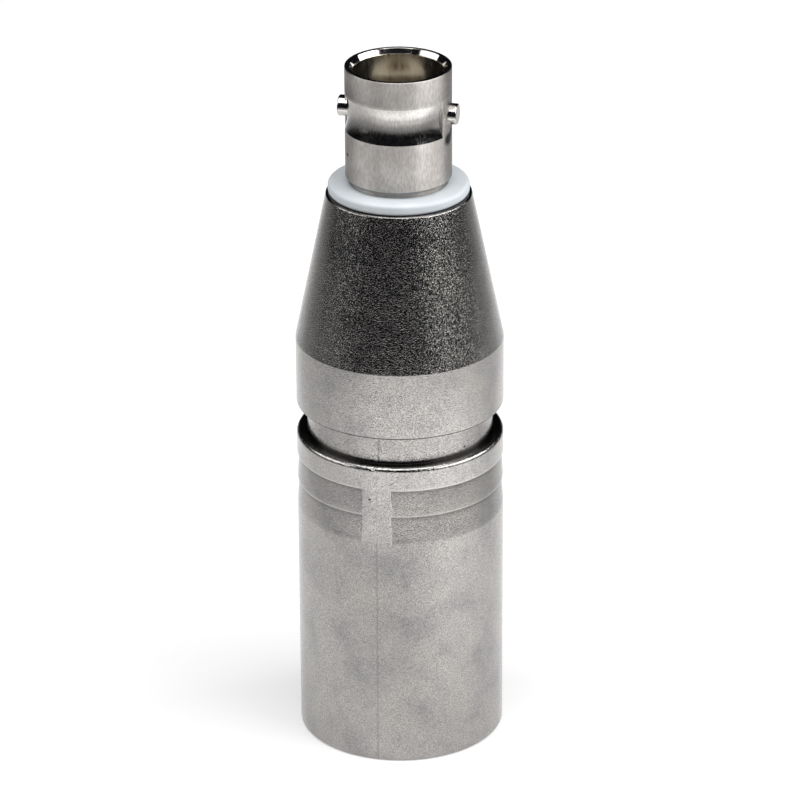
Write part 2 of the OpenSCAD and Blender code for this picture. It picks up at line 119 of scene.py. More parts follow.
def mark(tree, coord, place, turn, half_size):
    """Share of a small mark at each point: 1 inside an ellipsoid of the given place, turn and
    half sizes in millimetres, and 0 outside it, with a soft edge between the two."""
    local = add(tree, "ShaderNodeMapping", {
        "Vector": coord, "Location": Vector(place) * MM, "Rotation": turn,
        "Scale": Vector(half_size) * MM,
    }, vector_type="TEXTURE")
    away = add(tree, "ShaderNodeVectorMath", {0: local.outputs[0]}, operation="LENGTH")
    return add(tree, "ShaderNodeMapRange", {
        "Value": away.outputs["Value"], "From Min": INSIDE, "From Max": OUTSIDE,
        "To Min": 1.0, "To Max": 0.0,
    }).outputs[0]


# Place, turn and half sizes in millimetres: two specks and a scratch on the shell
SHELL_MARKS = [
    ((7.11, -4.7, 30.65), (0, 0, 0), (0.16, 0.16, 0.12)),
    ((-0.63, -9.48, 26.75), (0, 0, 0), (0.14, 0.3, 0.1)),
    ((1.41, -9.4, 28.43), (0, -0.6, 0.15), (0.36, 0.3, 0.035)),
]
# A speck on the barrel, a dark drop in two parts below the right lug, and a dark mark above it
BARREL_MARKS = [
    ((-4.09, -2.51, 57.26), (0, 0, 0), (0.25, 0.35, 0.14)),
    ((4.72, -0.75, 58.85), (0, 0, 0), (0.6, 0.75, 0.6)),
    ((4.79, -0.05, 59.3), (-0.5, 0, 0), (0.6, 0.36, 1.1)),
    ((4.8, 0.19, 62.4), (0, 0, 0), (0.5, 0.2, 0.6)),
]
print("marks:", len(SHELL_MARKS), "on the shell,", len(BARREL_MARKS), "on the barrel")

# %% [markdown]
# ## Blasted nickel on die-cast zinc
#
# The shell and the rear housing are cast in zinc, blasted with fine grit and plated with matte
# nickel. Seen close, the blasting is a field of sparse pits about a tenth of a millimetre wide:
# each tips the mirror a little, so the metal mixes light from a wide cone. On the straight walls
# that cone is full of white table, and they look pale. On the cone it is the dark room, where
# only the pits that face a lamp sparkle. Handling leaves soft blotches a few millimetres across.
#
# A photograph of such a surface could be wrapped round it. Noise in object coordinates has no
# seam, and its scale follows from the real grit. Where the metal is worn, dirty or painted darker
# as shade is a matter of its shape, so the mesh brings that along as two values per point: rub,
# and one value that holds both dirt and painted shade.

# %% Blasted matte nickel
GRAIN_MM, PIT_MM, BLOTCH_MM = 0.11, 0.09, 4.0
PIT_DEPTH_MM = 0.0145
# Dark colour for dirt and for painted shade, pale colour for worn metal
GRIME_AND_SHADE, WORN = "#3a3836", "#d4d2cf"


def blasted_nickel():
    """Matte nickel plate over grit-blasted zinc: pale grey metal, grain from the grit, warm and
    cool blotches from handling, worn lips, dirt and painted shade from the mesh, and a few
    specks."""
    material, tree = blank_material("blasted_matte_nickel")
    coord = add(tree, "ShaderNodeTexCoord").outputs["Object"]
    grain = add(tree, "ShaderNodeTexNoise", {
        "Vector": coord, "Scale": per_mm(GRAIN_MM), "Detail": 1.0, "Roughness": 0.6,
    }).outputs["Fac"]
    pits = add(tree, "ShaderNodeTexNoise", {
        "Vector": coord, "Scale": per_mm(PIT_MM), "Detail": 0.0,
    }).outputs["Fac"]
    sparse = add(tree, "ShaderNodeMapRange", {
        "Value": pits, "From Min": 0.5, "From Max": 0.9,
    }).outputs[0]
    blotch = add(tree, "ShaderNodeTexNoise", {
        "Vector": coord, "Scale": per_mm(BLOTCH_MM), "Detail": 4.0, "Roughness": 0.65,
    }).outputs["Fac"]
    grit = add(tree, "ShaderNodeValToRGB", {"Fac": grain}, stops=[
        (0.3, "#9a9a9a"), (0.5, "#b1b1b1"), (0.7, "#c7c7c7")]).outputs[0]
    tint = add(tree, "ShaderNodeValToRGB", {"Fac": blotch}, stops=[
        (0.3, "#dad7d6"), (0.5, "#f2eeeb"), (0.7, "#fffaf4")]).outputs[0]
    colour = add(tree, "ShaderNodeMix", {SHARE: 1.0, UNDER: grit, OVER: tint},
                 **COLOURS, blend_type="MULTIPLY").outputs[MIXED]
    # Worn metal, then dirt and painted shade as the mesh gives them, then the small marks
    films = [
        (add(tree, "ShaderNodeAttribute", attribute_name="rub").outputs["Fac"], WORN),
        (add(tree, "ShaderNodeAttribute", attribute_name="grime").outputs["Fac"], GRIME_AND_SHADE),
    ]
    films += [(mark(tree, coord, *place), "#3c3a38") for place in SHELL_MARKS]
    for share, film in films:
        colour = add(tree, "ShaderNodeMix", {SHARE: share, UNDER: colour, OVER: linear(film)},
                     **COLOURS).outputs[MIXED]
    rough = add(tree, "ShaderNodeMapRange", {
        "Value": blotch, "From Min": 0.3, "From Max": 0.7, "To Min": 0.12, "To Max": 0.17,
    }).outputs[0]
    bump = add(tree, "ShaderNodeBump", {
        "Height": sparse, "Strength": 1.0, "Distance": PIT_DEPTH_MM * MM,
    }).outputs[0]
    shader = add(tree, "ShaderNodeBsdfPrincipled", {
        "Base Color": colour, "Metallic": 1.0, "Roughness": rough, "Normal": bump,
    })
    add(tree, "ShaderNodeOutputMaterial", {"Surface": shader.outputs[0]})
    return material


matte_nickel = blasted_nickel()
print(matte_nickel.name, "has", len(matte_nickel.node_tree.nodes), "nodes")

# %% [markdown]
# ## Turned nickel
#
# The socket is turned from brass bar and plated bright. The tool leaves rings too fine to see,
# which smear a reflection along the axis: that is the anisotropy of the shader, with its tangent
# round the axis. The outer walls are satin, with faint marks along the axis. The groove and the
# lugs are left as the tool polished them, the bevel of the rim is burnished, and the bore shows
# the insulator inside it. One function makes all four, because only the numbers differ.

# %% Turned metal
CLOUD_MM = 2.2
DRAWN = (1.0, 1.0, 0.3)
QUARTER_TURN = 0.25


def turned_metal(name, low, high, roughness, streak_mm, depth_mm, smear=0.0, marks=()):
    """Bright metal on a turned piece: two tones in clouds, streaks along the axis that vary the
    roughness between its two limits, a bump from the streaks, and a smear along the axis."""
    material, tree = blank_material(name)
    coord = add(tree, "ShaderNodeTexCoord").outputs["Object"]
    drawn = add(tree, "ShaderNodeMapping", {"Vector": coord, "Scale": DRAWN}).outputs[0]
    streak = add(tree, "ShaderNodeTexNoise", {
        "Vector": drawn, "Scale": per_mm(streak_mm), "Detail": 2.0, "Roughness": 0.5,
    }).outputs["Fac"]
    cloud = add(tree, "ShaderNodeTexNoise", {
        "Vector": coord, "Scale": per_mm(CLOUD_MM), "Detail": 2.0, "Roughness": 0.5,
    }).outputs["Fac"]
    tone = add(tree, "ShaderNodeValToRGB", {"Fac": streak}, stops=[
        (0.3, "#dcdcdc"), (0.7, "#ffffff")]).outputs[0]
    metal = add(tree, "ShaderNodeValToRGB", {"Fac": cloud}, stops=[
        (0.32, low), (0.68, high)]).outputs[0]
    colour = add(tree, "ShaderNodeMix", {SHARE: 1.0, UNDER: metal, OVER: tone},
                 **COLOURS, blend_type="MULTIPLY").outputs[MIXED]
    # On the socket, the mesh's value is painted shade on the foot and the collar
    films = [(add(tree, "ShaderNodeAttribute", attribute_name="grime").outputs["Fac"], GRIME_AND_SHADE)]
    films += [(mark(tree, coord, *place), "#1b1e24") for place in marks]
    for share, film in films:
        colour = add(tree, "ShaderNodeMix", {SHARE: share, UNDER: colour, OVER: linear(film)},
                     **COLOURS).outputs[MIXED]
    rough = add(tree, "ShaderNodeMapRange", {
        "Value": streak, "From Min": 0.3, "From Max": 0.7,
        "To Min": roughness[0], "To Max": roughness[1],
    }).outputs[0]
    bump = add(tree, "ShaderNodeBump", {
        "Height": streak, "Strength": 1.0, "Distance": depth_mm * MM,
    }).outputs[0]
    tangent = add(tree, "ShaderNodeTangent", direction_type="RADIAL", axis="Z").outputs[0]
    shader = add(tree, "ShaderNodeBsdfPrincipled", {
        "Base Color": colour, "Metallic": 1.0, "Roughness": rough, "Normal": bump,
        "Anisotropic": smear, "Anisotropic Rotation": QUARTER_TURN, "Tangent": tangent,
    })
    add(tree, "ShaderNodeOutputMaterial", {"Surface": shader.outputs[0]})
    return material


satin_nickel = turned_metal(
    "satin_turned_nickel", "#d5cfca", "#e7e3df", (0.4, 0.5), 0.14, 0.01, 0.85, BARREL_MARKS)
polished_nickel = turned_metal(
    "polished_nickel", "#c8c4c0", "#d6d3d0", (0.04, 0.2), 0.12, 0.002)
rim_nickel = turned_metal(
    "burnished_nickel_rim", "#c4c0bb", "#d0cdc9", (0.06, 0.09), 0.12, 0.0005)
bore_nickel = turned_metal(
    "turned_nickel_bore", "#b9b2a6", "#c6c0b5", (0.14, 0.22), 0.3, 0.002, 0.8)
print("turned finishes:", satin_nickel.name, polished_nickel.name, rim_nickel.name,
      bore_nickel.name)

# %% [markdown]
# ## Moulded and pressed plastics
#
# The washer is moulded in natural white nylon. Light goes a little way into it, which softens
# its shadows, and its skin has the faint orange peel of the mould. The black insert, the
# insulator, the board and the ferrite core are other mixes of the same three things: two close
# tones, a skin, and some light below it or none.

# %% Plastics
PLASTIC_IOR, TONE_MM = 1.53, 3.0


def moulded_plastic(name, low, high, roughness, peel_mm, depth_mm, scatter_mm):
    """Moulded plastic: two close tones, a mould skin as bump, and some light below the skin."""
    material, tree = blank_material(name)
    coord = add(tree, "ShaderNodeTexCoord").outputs["Object"]
    peel = add(tree, "ShaderNodeTexNoise", {
        "Vector": coord, "Scale": per_mm(peel_mm), "Detail": 2.0})
    tone = add(tree, "ShaderNodeTexNoise", {
        "Vector": coord, "Scale": per_mm(TONE_MM), "Detail": 2.0})
    colour = add(tree, "ShaderNodeValToRGB", {"Fac": tone.outputs["Fac"]}, stops=[
        (0.3, low), (0.7, high)]).outputs[0]
    bump = add(tree, "ShaderNodeBump", {
        "Height": peel.outputs["Fac"], "Strength": 1.0, "Distance": depth_mm * MM,
    })
    sockets = {
        "Base Color": colour, "Roughness": roughness, "IOR": PLASTIC_IOR,
        "Normal": bump.outputs[0],
    }
    if scatter_mm:
        sockets["Subsurface Weight"] = 0.3
        sockets["Subsurface Scale"] = scatter_mm * MM
        sockets["Subsurface Radius"] = (1.0, 0.9, 0.8)
    shader = add(tree, "ShaderNodeBsdfPrincipled", sockets)
    add(tree, "ShaderNodeOutputMaterial", {"Surface": shader.outputs[0]})
    return material


white_nylon = moulded_plastic(
    "moulded_white_nylon", "#d3dadf", "#dde3e7", 0.4, 0.5, 0.004, 0.4)
black_nylon = moulded_plastic(
    "glass_filled_black_nylon", "#1b1b1d", "#242426", 0.5, 0.25, 0.02, 0)
ptfe = moulded_plastic("turned_ptfe", "#ded6c2", "#e8e1d0", 0.4, 0.4, 0.005, 0.5)
laminate = moulded_plastic("green_board_laminate", "#27603d", "#306f49", 0.35, 0.3, 0.006, 0)
ferrite = moulded_plastic("sintered_ferrite", "#343230", "#403d3a", 0.6, 0.15, 0.02, 0)
print("plastics:", white_nylon.name, black_nylon.name, ptfe.name, laminate.name, ferrite.name)

# %% [markdown]
# ## Contacts, wires and the other CAD pieces
#
# The contacts are turned and plated, the wires drawn and tinned or enamelled, the springs rolled
# from bronze. All of them are bright metal with fine streaks, so they come from the same function
# as the socket. Their solids are small or hidden, and stay as the CAD model has them.

# %% Finishes of the CAD pieces
silver = turned_metal("silver_plate", "#cfcdc6", "#dcdad4", (0.18, 0.26), 0.25, 0.006)
gold = turned_metal("gold_plate", "#c9983f", "#dbac58", (0.35, 0.45), 0.2, 0.004)
copper = turned_metal("enamelled_copper", "#9c4f26", "#ad5d31", (0.25, 0.35), 0.3, 0.004)
red_copper = turned_metal("red_enamelled_copper", "#842b22", "#94362b", (0.25, 0.35), 0.3, 0.004)
tinned = turned_metal("tinned_copper", "#bbb9b2", "#cbc9c3", (0.25, 0.35), 0.25, 0.01)
bronze = turned_metal("spring_bronze", "#b0824e", "#c1935f", (0.25, 0.35), 0.25, 0.008)

CAD_FINISH = {
    "xlr_insert": black_nylon, "spacer_sleeve": black_nylon,
    "contact_pin_1": silver, "contact_pin_2": silver, "contact_pin_3": silver,
    "shell_ground_spring": bronze, "lock_washer": bronze,
    "circuit_board": laminate, "transformer_core": ferrite,
    "primary_winding": copper, "secondary_winding": red_copper,
    "signal_wire": tinned, "ground_wire": tinned, "solder_tag": tinned,
    "inner_insulating_washer": white_nylon, "hex_nut": satin_nickel,
    "bnc_dielectric": ptfe, "bnc_center_contact": gold,
}
for node_name, finish in CAD_FINISH.items():
    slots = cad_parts[node_name].data.materials
    slots.clear()
    slots.append(finish)
print("finishes on CAD nodes:", len(CAD_FINISH))

# %% [markdown]
# ## From a profile to a mesh
#
# A lathe or a revolving die leaves a shape that is one profile carried round an axis. Modelling
# it with cylinders and a bevel would leave long faces whose smooth shading smears. Here the
# profile is a closed polygon whose corners become true arcs, with a guard point beside each arc,
# so that plain smooth shading stays flat on the straights and round in the corners.

# %% Rounded profiles
GUARD = 0.05


def rounded_loop(corners, steps, rows=None):
    """Closed profile of (radius, height) points from corners (r, z, fillet).

    An arc that touches both sides replaces each corner: its centre lies on the bisector at the
    fillet divided by the sine of the half angle. Each straight then gets a guard point near
    both of its ends, and rows gives a straight more points, as shares of its length.
    """
    rows = rows or {}
    data = np.asarray(corners, float)
    points, fillet = data[:, :2], data[:, 2:3]
    back = np.roll(points, 1, axis=0) - points
    ahead = np.roll(points, -1, axis=0) - points
    back /= np.linalg.norm(back, axis=1, keepdims=True)
    ahead /= np.linalg.norm(ahead, axis=1, keepdims=True)
    half = np.arccos(np.clip((back * ahead).sum(1, keepdims=True), -1, 1)) / 2
    bisector = back + ahead
    bisector /= np.linalg.norm(bisector, axis=1, keepdims=True)
    centre = points + bisector * fillet / np.sin(half)
    first = points + back * fillet / np.tan(half) - centre
    last = points + ahead * fillet / np.tan(half) - centre
    start = np.arctan2(first[:, 1], first[:, 0])
    sweep = np.arctan2(last[:, 1], last[:, 0]) - start
    sweep = (sweep + np.pi) % (2 * np.pi) - np.pi
    angle = start[:, None] + sweep[:, None] * np.linspace(0, 1, steps)
    round_corner = np.stack([np.cos(angle), np.sin(angle)], -1)
    arcs = centre[:, None, :] + fillet[:, None, :] * round_corner
    loop = []
    for i, arc in enumerate(arcs):
        a, b = arc[-1], arcs[(i + 1) % len(arcs)][0]
        near = min(GUARD / np.linalg.norm(b - a), 0.25)
        share = np.unique(np.concatenate([[near, 1 - near], rows.get(i, [])]))
        loop += [arc, a + (b - a) * share[:, None]]
    loop = np.concatenate(loop)
    r, z = loop.T
    area = (r * np.roll(z, -1) - z * np.roll(r, -1)).sum()
    return loop if area > 0 else loop[::-1]


square = [(1, 0, 0.2), (2, 0, 0.2), (2, 1, 0.2), (1, 1, 0.2)]
print("a square with rounded corners has", len(rounded_loop(square, 5)), "points")

# %% [markdown]
# A profile is carried round at angles that lie closer together where something changes, such as
# the side of a bar. Even steps would need thousands of them all round. What changes is written
# as soft steps and bell curves, because a hard step between two angles would leave a saw edge.

# %% Angles, steps and bells


def clustered_angles(count, *clusters):
    """Angles in radians: count even steps round the circle, and more in each cluster, given as
    (middle, half width, number) in degrees."""
    parts = [np.arange(count) * 360 / count]
    parts += [np.linspace(mid - wide, mid + wide, n) % 360 for mid, wide, n in clusters]
    angles = np.unique(np.round(np.concatenate(parts), 4))
    keep = np.diff(angles, append=angles[0] + 360) > 0.01
    return np.radians(angles[keep])


def smooth_step(x, edge, width):
    """0 below the edge and 1 above it, on the curve 3t^2 - 2t^3 over the given width."""
    t = np.clip((x - edge) / width + 0.5, 0, 1)
    return t * t * (3 - 2 * t)


def bell(x, width):
    """Bell curve that is 1 at zero: e to the power of minus the square of x over the width."""
    return np.exp(-((x / width) ** 2))


print("on the edge a soft step is", smooth_step(0.0, 0.0, 1.0), "and a bell", bell(0.0, 1.0))

# %% [markdown]
# The grid of points then becomes a mesh in one go, with a face between each four neighbours. A
# Screw modifier could carry a profile round too, but it couldn't change it on the way.

# %% Grids


def turned(angles, r, z):
    """Points at radius r and height z about the axis: x = r cos a, y = r sin a."""
    a = angles[:, None]
    r, z = np.broadcast_arrays(r, z)
    r = np.broadcast_to(r, (len(angles), r.shape[-1]))
    z = np.broadcast_to(z, r.shape)
    return np.stack([r * np.cos(a), r * np.sin(a), z], -1)


def grid_piece(name, points, poles=False, **attributes):
    """Mesh object from a grid of points in millimetres, closed both ways: each face joins four
    neighbours, and the last row and column join the first. With poles the profile starts and
    ends on the axis, so its ends are left open there and the doubled points are merged. Each
    attribute is a value per point for the materials to read."""
    nu, nv = points.shape[:2]
    span = nv - 1 if poles else nv
    u, v = np.meshgrid(np.arange(nu), np.arange(span), indexing="ij")
    right, up = (u + 1) % nu, (v + 1) % nv
    faces = np.stack([u * nv + v, right * nv + v, right * nv + up, u * nv + up], -1)
    mesh = bpy.data.meshes.new(name)
    mesh.from_pydata((points.reshape(-1, 3) * MM).tolist(), [], faces.reshape(-1, 4).tolist())
    for label, values in attributes.items():
        layer = mesh.attributes.new(label, "FLOAT", "POINT")
        values = np.broadcast_to(values, (nu, nv)).astype(np.float32)
        layer.data.foreach_set("value", values.ravel())
    if poles:
        merged = bmesh.new()
        merged.from_mesh(mesh)
        bmesh.ops.remove_doubles(merged, verts=merged.verts, dist=1e-8)
        merged.to_mesh(mesh)
        merged.free()
    mesh.shade_smooth()
    piece = bpy.data.objects.new(name, mesh)
    bpy.context.scene.collection.objects.link(piece)
    print(name, len(mesh.vertices), "points,", len(mesh.polygons), "faces")
    return piece


def dress(piece, node, slot, *materials):
    """Let a new piece stand for a CAD node, ride on the one body and take its finishes."""
    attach(piece, "root")
    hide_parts(node)
    for material in materials:
        piece.data.materials.append(material)


quarter = turned(np.radians([0.0, 90.0]), np.array([2.0]), np.array([1.0]))
print("a point at radius 2, turned a quarter:", quarter[1, 0].round(3))

# %% [markdown]
# ## Plug shell
#
# The shell is cast in two half dies, which leave a fine parting line down the front and the back.
# Two sawtooth rings give a grip under the flange, and a plain bar interrupts them at the parting
# line, where the dies could not release an undercut. Cutting the rings with a boolean would leave
# stray faces. Here the profile has the rings, and near the bar their radius is blended out to the
# plain one, so the whole shell stays one clean grid.
#
# Every length is in millimetres, as on the drawing, and becomes metres only when a mesh is made.
# The sizes are the CAD model's own, so each new piece lies where its solid is.

# %% Shell sizes
SHELL_R = 9.4985  # a hair under 9.5, so that the round grid stays inside the CAD's facets
NECK_R, SPIGOT_R, REAR_BORE_R, LIP_R = 8.52, 8.0, 7.1, 6.7
MOUTH_R, MOUTH_DEPTH, MOUTH_BEVEL = 8.1, 14.5, 0.4
SKIRT_H, BAR_W = 22.43, 2.8
TOOTH_H, TOOTH_LIP_H, TOOTH_DEPTH, TOOTH_LIP_DROP = 2.62, 0.4, 0.18, 0.04
Z_LIP = MOUTH_DEPTH + 1.2
Z_RING = SKIRT_H + TOOTH_H
Z_FLANGE = SKIRT_H + 2 * TOOTH_H
Z_LEDGE = Z_FLANGE + 2.3
Z_JOINT = Z_LEDGE + 2.84
Z_SPIGOT = Z_JOINT + 5.1
print("the shell meets the housing at", round(Z_JOINT, 2), "mm")

# %% Shell profile
DRAFT = 0.02
SHARP, ROOT_EDGE, TOOTH_BEND = 0.05, 0.04, 4.0
shell_corners = [
    (SHELL_R, 0, 0.3),
    (SHELL_R, SKIRT_H + TOOTH_LIP_H, TOOTH_BEND),
    (SHELL_R - TOOTH_DEPTH, Z_RING - DRAFT, ROOT_EDGE),
    (SHELL_R - TOOTH_LIP_DROP, Z_RING + DRAFT, SHARP),
    (SHELL_R - TOOTH_LIP_DROP, Z_RING + TOOTH_LIP_H, TOOTH_BEND),
    (SHELL_R - TOOTH_DEPTH, Z_FLANGE - DRAFT, ROOT_EDGE),
    (SHELL_R, Z_FLANGE + DRAFT, 0.08),
    (SHELL_R, Z_LEDGE, 0.4),
    (NECK_R, Z_LEDGE, SHARP),
    (NECK_R, Z_JOINT, SHARP),
    (SPIGOT_R, Z_JOINT, SHARP),
    (SPIGOT_R, Z_SPIGOT, 0.3),
    (REAR_BORE_R, Z_SPIGOT, SHARP),
    (REAR_BORE_R, Z_LIP, SHARP),
    (LIP_R, Z_LIP, SHARP),
    (LIP_R, MOUTH_DEPTH, SHARP),
    (MOUTH_R, MOUTH_DEPTH, SHARP),
    (MOUTH_R, MOUTH_BEVEL, 0.1),
    (MOUTH_R + MOUTH_BEVEL, 0, SHARP),
]
print("shell profile:", len(shell_corners), "corners")

# %% [markdown]
# The straights of the profile need more points where the dirt and the painted shade fade, and in
# the bore at the ends of the key rib and the latch recess. The angles crowd at the sides of the
# bars, the rib and the recess, and at a small nick in the flange's edge.

# %% Shell grid
SKIRT, LOWER_RING, UPPER_RING, FLANGE, NECK, BORE = 0, 1, 4, 6, 8, 16
KEY_Z = MOUTH_DEPTH - 6.0
LATCH_Z = (4.2, 7.2)
step_z = np.array([KEY_Z, LATCH_Z[1], LATCH_Z[0]])
bore_z = (step_z[:, None] + np.array([-0.04, 0.0, 0.04])).ravel()
ring_rows = np.concatenate([np.linspace(0.1, 0.7, 7), np.linspace(0.75, 0.96, 8)])
shell_loop = rounded_loop(shell_corners, 7, {
    SKIRT: np.append(np.linspace(0.05, 0.95, 19), [0.97, 0.985]),
    LOWER_RING: ring_rows,
    UPPER_RING: ring_rows,
    FLANGE: np.linspace(0.1, 0.9, 6),
    NECK: np.linspace(0.04, 0.4, 8),
    BORE: (MOUTH_DEPTH - bore_z) / (MOUTH_DEPTH - MOUTH_BEVEL),
})

FRONT, BACK, NICK = -90.0, 90.0, -92.1
LATCH_SIDE, KEY_SIDE = 17.5, 7.09
bar_side = math.degrees(math.asin(BAR_W / 2 / SHELL_R))
shell_angles = clustered_angles(
    240,
    *[(side + s * bar_side, 0.5, 9) for side in (FRONT, BACK) for s in (-1, 1)],
    *[(side, 1.0, 17) for side in (FRONT, BACK)],
    *[(FRONT + s * LATCH_SIDE, 1.6, 17) for s in (-1, 1)],
    *[(FRONT + s * KEY_SIDE, 0.5, 9) for s in (-1, 1)],
    (NICK, 2.4, 25),
)
print("shell grid:", len(shell_angles), "angles,", len(shell_loop), "points on the profile")

# %% [markdown]
# The bars, the key rib and the latch recess all change the radius over a part of the circle, so
# each is a soft mask times a depth. The mask is a product of one along the axis and one across.

# %% Bars, key rib and latch recess
OUTER_FROM = 9.0
LATCH_HALF_W, LATCH_DEPTH = 2.5, 0.7
KEY_HALF_W, KEY_DEPTH = 1.0, 0.9
BAR_SOFT, END_SOFT, SIDE_SOFT = 0.1, 0.06, 0.08
shell_r, shell_z = shell_loop.T
across = np.cos(shell_angles)[:, None]
in_front = np.sin(shell_angles)[:, None] < 0
aside = SHELL_R * across
bore_aside = np.abs(MOUTH_R * across)

outer = shell_r > OUTER_FROM
rings = outer & (shell_z > SKIRT_H) & (shell_z < Z_FLANGE + 0.15)
on_bar = 1 - smooth_step(np.abs(aside), BAR_W / 2, BAR_SOFT)
radius = shell_r + np.where(rings, (SHELL_R - shell_r) * on_bar, 0)

bore = np.abs(shell_r - MOUTH_R) < 0.02
latch_ends = [smooth_step(shell_z, end, END_SOFT) for end in LATCH_Z]
latch = bore * (latch_ends[0] - latch_ends[1])
in_latch = (1 - smooth_step(bore_aside, LATCH_HALF_W, SIDE_SOFT)) * in_front
key = bore * smooth_step(shell_z, KEY_Z, END_SOFT) * (shell_z < MOUTH_DEPTH - 0.01)
in_key = (1 - smooth_step(bore_aside, KEY_HALF_W, SIDE_SOFT)) * in_front
radius = radius + LATCH_DEPTH * latch * in_latch - KEY_DEPTH * key * in_key
print("radius in the bore from", radius[:, bore].min().round(2), "to",
      radius[:, bore].max().round(2), "mm")

# %% [markdown]
# The parting line is a groove a few hundredths of a millimetre deep, which shows because light
# falls across it. The nick is a dent that pulls the flange's upper edge in and down.

# %% Parting line and nick
SEAM_W, SEAM_DEPTH = 0.06, 0.03
NICK_W, NICK_DEPTH, NICK_DROP = 0.14, 0.12, 0.12
skin = (shell_r > NECK_R - 0.01) & (shell_z > 0.3) & (shell_z < Z_JOINT)
radius = radius - np.where(skin, SEAM_DEPTH * bell(aside, SEAM_W), 0)
off_nick = SHELL_R * (np.degrees(shell_angles)[:, None] - NICK - 360) * math.pi / 180
upper_edge = np.where(
    outer & (shell_z > Z_LEDGE - 0.4), bell(shell_z - Z_LEDGE + NICK_DROP, NICK_W), 0)
dent = NICK_DEPTH * bell(off_nick, NICK_W) * upper_edge
print("deepest point of the nick", dent.max().round(3), "mm")

# %% [markdown]
# Handling leaves dirt along the parting line, and rubbing brightens the lips of the rings and the
# flange. The same dark colour as the dirt is painted as shade: over the rings, deeper on the
# right and in their roots under each lip, just below the lower ring, on the ledge and round the
# foot of the neck, and thinly over the skirt and the neck, deeper towards the bottom. They could
# be painted by hand. Worked out from the profile, they keep to its edges exactly.

# %% Dirt, painted shade and rub on the shell
on_neck = np.abs(shell_r - NECK_R) < 0.02
below_root = np.where(shell_z < Z_RING, Z_RING - shell_z, Z_FLANGE - shell_z)
# Painted shade over the rings, deeper on the right side, and deeper still in each root under a
# lip
ring_side_shade = 0.21 + 0.2 * smooth_step(across, 0.6, 0.7)
ring_root_shade = ring_side_shade + 0.3 * bell(below_root, 0.3)
roots = np.where(rings & (below_root > 0), ring_root_shade, 0) * (1 - on_bar)
# Painted shade just below the lower ring, at the front and the back
under_lip_shade = 0.2 * bell(shell_z - SKIRT_H - 0.3, 0.25) * bell(aside, 5.0) * outer * (1 - on_bar)
# Painted shade on the ledge and round the foot of the neck
ledge = np.where((np.abs(shell_z - Z_LEDGE) < 0.02) & (shell_r < 9.2), 0.93, 0)
neck_foot_shade = np.where(on_neck, 0.92 * bell(shell_z - Z_LEDGE, 0.36), 0)
# Dirt along the parting line
seam_film = np.where(shell_z > Z_LEDGE, 0.22, np.where(shell_z < SKIRT_H, 0.2, 0))
seam_line = np.where(skin, seam_film, 0) * bell(aside, 0.09)
# Painted shade over the skirt, deeper towards its bottom, and a little on the neck
skirt_and_neck_shade = np.where(outer & (shell_z < SKIRT_H), 0.1 + 0.06 * bell(shell_z, 4.0), 0)
skirt_and_neck_shade = np.where(on_neck, 0.06, skirt_and_neck_shade)
shell_grime = np.clip(roots + under_lip_shade + np.maximum(ledge, neck_foot_shade) + seam_line + skirt_and_neck_shade, 0, 1)

above_lip = np.where(shell_z < Z_FLANGE, shell_z - Z_RING, shell_z - Z_FLANGE)
lip_rub = np.where(outer & (shell_z > Z_RING), 0.6 * bell(above_lip - 0.06, 0.09), 0)
flange_rub = np.where(outer & (shell_z > Z_FLANGE), 0.1, 0)
shell_rub = np.maximum(lip_rub * (1 - on_bar), flange_rub)
xlr_shell = grid_piece(
    "plug_shell", turned(shell_angles, radius - dent, shell_z - dent),
    grime=shell_grime, rub=shell_rub)
dress(xlr_shell, "xlr_shell", "matte_nickel", matte_nickel)

# %% [markdown]
# ## Rear housing
#
# One cast piece: a straight band that screws down on the shell's neck, and a cone that carries
# the socket. Two cylinders and a cone would do for the form, but its edges are only just broken
# and catch the lamp as thin bright lines, so they are true arcs in one profile. Painted shade
# draws a dark line along the band's lower edge, and a fainter one on the cone's top edge under
# the washer.

# %% Rear housing
Z_CONE = Z_JOINT + 6.32
Z_CONE_TOP = Z_CONE + 14.07
CONE_TOP_R, THREAD_R = 6.58, 8.05
Z_SHOULDER = Z_JOINT + 5.6
Z_TOP_WALL = Z_CONE_TOP - 2.0
SOCKET_HOLE_R, CAVITY_TOP_R, CAVITY_R = 4.6, 6.0, 6.4
BAND, CONE = 0, 1
housing_loop = rounded_loop([
    (SHELL_R, Z_JOINT, 0.15),
    (SHELL_R, Z_CONE, 0.12),
    (CONE_TOP_R, Z_CONE_TOP, 0.22),
    (SOCKET_HOLE_R, Z_CONE_TOP, SHARP),
    (SOCKET_HOLE_R, Z_TOP_WALL, SHARP),
    (CAVITY_TOP_R, Z_TOP_WALL, SHARP),
    (CAVITY_R, Z_SHOULDER, SHARP),
    (THREAD_R, Z_SHOULDER, SHARP),
    (THREAD_R, Z_JOINT, SHARP),
], 7, {BAND: np.linspace(0.1, 0.9, 5), CONE: np.linspace(0.05, 0.95, 12)})
housing_r, housing_z = housing_loop.T
# Painted shade: a dark line on the band's rounded lower edge
joint_line = np.where((housing_r > THREAD_R + 0.5) & (housing_z < Z_JOINT + 0.14), 1.0, 0)
# Painted shade on the cone's top edge, round the washer's rim
cone_top_shade = np.where((housing_z > Z_CONE_TOP - 0.12) & (housing_r > 6.0), 0.5, 0)
rear_housing = grid_piece(
    "rear_housing_shell", turned(clustered_angles(288), housing_r, housing_z),
    grime=joint_line + cone_top_shade)
dress(rear_housing, "rear_housing", "matte_nickel", matte_nickel)

# %% [markdown]
# ## Insulating washer
#
# A flanged bush: the flange shows as a white ring, and its thin tube keeps the socket's shank
# clear of the housing. A torus would be too round, so it is a profile with wide soft edges.

